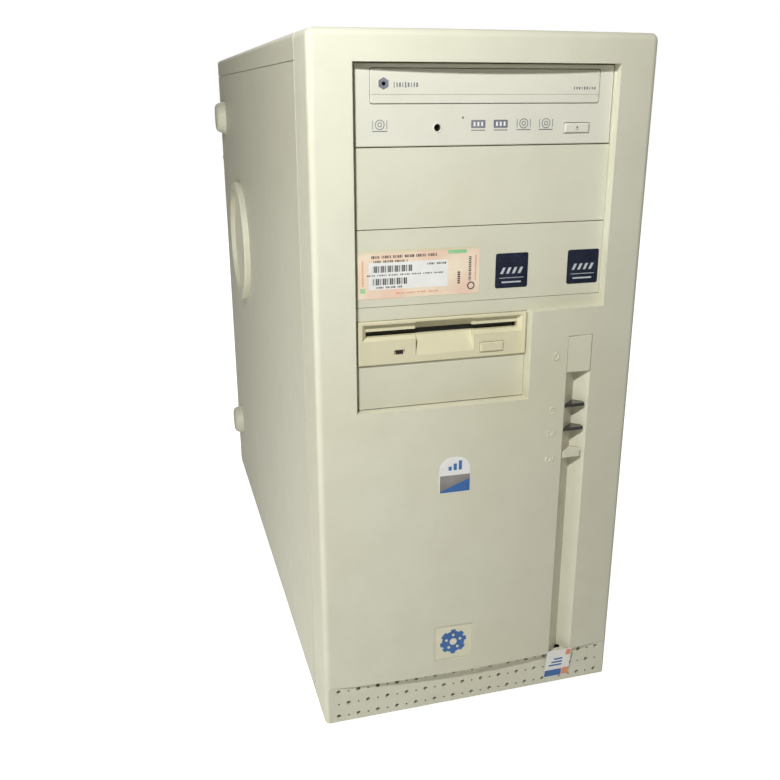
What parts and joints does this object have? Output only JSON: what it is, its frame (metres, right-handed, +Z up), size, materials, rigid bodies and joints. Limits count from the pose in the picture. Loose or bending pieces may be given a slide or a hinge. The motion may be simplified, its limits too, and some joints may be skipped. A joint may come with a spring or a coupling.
{
  "type": "desktop computer tower",
  "caption": "Beige midi tower computer case with bowed front bezel, drive bays, side panels, drives, board, cooler, fans and power supply.",
  "frame": {"origin": "middle of the bounding box's footprint, on the surface that the feet stand on", "axes": "+X to the right seen from the front, +Y towards the rear, +Z up; the front faces -Y"},
  "size_m": [0.214, 0.467, 0.42],
  "materials": {
    "case_paint": "satin beige powder paint with a faint orange-peel texture",
    "bare_steel": "galvanised sheet steel, slightly mottled",
    "bezel_plastic": "fine spark-eroded texture, beige",
    "drive_plastic": "smooth satin, a little whiter than the case",
    "diskette_plastic": "smooth satin, a little yellower than the case",
    "dark_plastic": "black moulded plastic",
    "smoked_lens": "dark smoked light bar",
    "foot_rubber": "black rubber",
    "circuit_board": "green solder mask",
    "socket_plastic": "ivory connector plastic",
    "fin_aluminium": "extruded, lightly brushed",
    "bright_screw": "nickel plated",
    "cast_housing": "dark cast and painted drive housing"
  },
  "bodies": {
    "chassis": {"chassis_floor": "bare_steel", "front_plate": "bare_steel", "rear_panel": "bare_steel", "top_cover": "case_paint", "board_tray": "bare_steel", "feet": "foot_rubber", "front_bezel": "bezel_plastic", "upper_bay_cover": "bezel_plastic", "lower_bay_cover": "bezel_plastic", "small_bay_cover": "bezel_plastic", "large_drive_cage": "bare_steel", "small_drive_cage": "bare_steel", "optical_case": "bare_steel", "optical_face": "drive_plastic", "optical_pickup": "dark_plastic", "diskette_case": "bare_steel", "diskette_face": "diskette_plastic", "hard_disk": "cast_housing", "button_board": "circuit_board", "power_light": "smoked_lens", "disk_light": "smoked_lens", "psu_case": "bare_steel", "psu_fan_frame": "dark_plastic", "power_inlet": "dark_plastic", "switch_frame": "dark_plastic", "main_board": "circuit_board", "board_studs": "bright_screw", "board_sockets": "socket_plastic", "memory_sticks": "circuit_board", "board_capacitors": "dark_plastic", "chipset_sink": "fin_aluminium", "cpu_cooler": "fin_aluminium", "cpu_fan_frame": "dark_plastic", "port_shield": "bare_steel", "rear_ports": "dark_plastic", "graphics_card": "circuit_board", "graphics_sink": "fin_aluminium", "card_bracket": "bare_steel", "card_sockets": "dark_plastic", "slot_covers": "bare_steel", "rear_fan_frame": "dark_plastic", "rear_fan_guard": "bright_screw", "fan_screws": "bright_screw"},
    "left_panel": {"left_side_panel": "case_paint", "side_vent": "bezel_plastic", "left_thumbscrews": "bright_screw"},
    "right_panel": {"right_side_panel": "case_paint", "right_thumbscrews": "bright_screw"},
    "power_button": {"power_button": "bezel_plastic"},
    "reset_button": {"reset_button": "bezel_plastic"},
    "disc_tray": {"disc_tray": "dark_plastic", "tray_door": "drive_plastic"},
    "optical_eject_button": {"optical_eject_button": "drive_plastic"},
    "diskette_button": {"diskette_button": "diskette_plastic"},
    "dust_flap": {"dust_flap": "dark_plastic"},
    "psu_fan": {"psu_fan": "dark_plastic"},
    "cpu_fan": {"cpu_fan": "dark_plastic"},
    "rear_fan": {"rear_fan": "dark_plastic"},
    "rocker_switch": {"rocker_switch": "dark_plastic"}
  },
  "joints": [
    {"name": "left_panel_slide", "type": "slide", "parent": "chassis", "child": "left_panel", "axis": [0, 1, 0], "range_m": [0, 0.44]},
    {"name": "right_panel_slide", "type": "slide", "parent": "chassis", "child": "right_panel", "axis": [0, 1, 0], "range_m": [0, 0.44]},
    {"name": "power_button_press", "type": "slide", "parent": "chassis", "child": "power_button", "axis": [0, 1, 0], "range_m": [0, 0.0025], "stiffness_N_per_m": 500},
    {"name": "reset_button_press", "type": "slide", "parent": "chassis", "child": "reset_button", "axis": [0, 1, 0], "range_m": [0, 0.0015], "stiffness_N_per_m": 600},
    {"name": "disc_tray_slide", "type": "slide", "parent": "chassis", "child": "disc_tray", "axis": [0, -1, 0], "range_m": [0, 0.14]},
    {"name": "optical_eject_press", "type": "slide", "parent": "chassis", "child": "optical_eject_button", "axis": [0, 1, 0], "range_m": [0, 0.001], "stiffness_N_per_m": 800},
    {"name": "diskette_button_press", "type": "slide", "parent": "chassis", "child": "diskette_button", "axis": [0, 1, 0], "range_m": [0, 0.004], "stiffness_N_per_m": 300},
    {"name": "dust_flap_hinge", "type": "hinge", "parent": "chassis", "child": "dust_flap", "pos_m": [-0.0231, -0.2189, 0.2626], "axis": [1, 0, 0], "range_deg": [0, 80], "stiffness_Nm_per_rad": 0.002},
    {"name": "psu_fan_spin", "type": "hinge", "parent": "chassis", "child": "psu_fan", "pos_m": [-0.024, 0.2101, 0.366], "axis": [0, 1, 0], "continuous": true},
    {"name": "cpu_fan_spin", "type": "hinge", "parent": "chassis", "child": "cpu_fan", "pos_m": [0.0289, 0.0975, 0.266], "axis": [1, 0, 0], "continuous": true},
    {"name": "rear_fan_spin", "type": "hinge", "parent": "chassis", "child": "rear_fan", "pos_m": [-0.03, 0.2101, 0.262], "axis": [0, 1, 0], "continuous": true},
    {"name": "rocker_switch_hinge", "type": "hinge", "parent": "chassis", "child": "rocker_switch", "pos_m": [0.0465, 0.218, 0.3752], "axis": [1, 0, 0], "range_deg": [-10, 10]}
  ]
}
